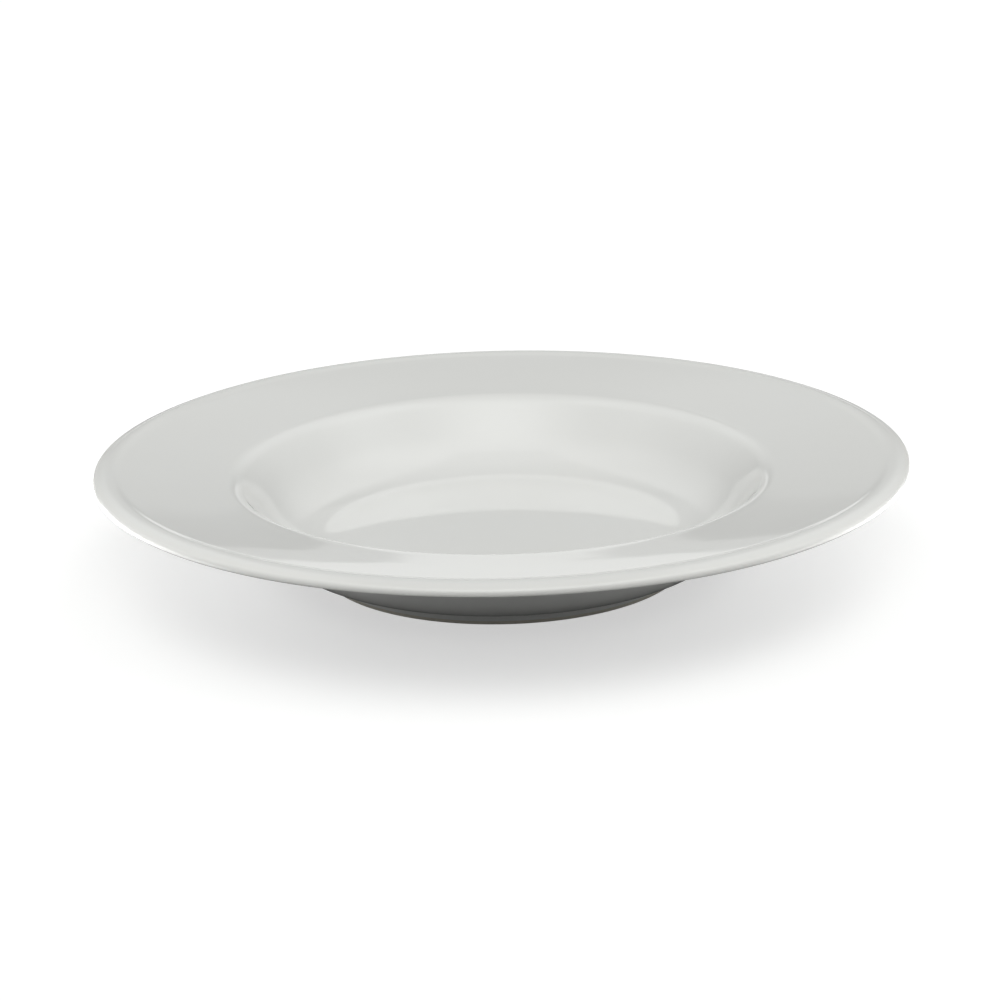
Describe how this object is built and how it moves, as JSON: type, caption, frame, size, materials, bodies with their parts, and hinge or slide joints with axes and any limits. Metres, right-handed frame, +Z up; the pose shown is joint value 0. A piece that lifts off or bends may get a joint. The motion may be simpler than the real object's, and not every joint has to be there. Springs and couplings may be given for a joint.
{
  "type": "soup plate",
  "caption": "Round white glazed porcelain soup plate with a wide rising rim, a deep flat-floored well and a low foot ring with a bare standing face.",
  "frame": {"origin": "centre of the plate's axis on the plane that the foot ring stands on", "axes": "+Z up along the axis of the plate, +X to the right and +Y away from the viewer; the plate is the same all round"},
  "size_m": [0.23, 0.23, 0.0331],
  "materials": {
    "bare_porcelain": "matte",
    "white_glaze": "gloss"
  },
  "bodies": {
    "root": {"porcelain_body": "bare_porcelain", "glaze_coat": "white_glaze", "foot_recess_glaze": "white_glaze"}
  },
  "joints": []
}
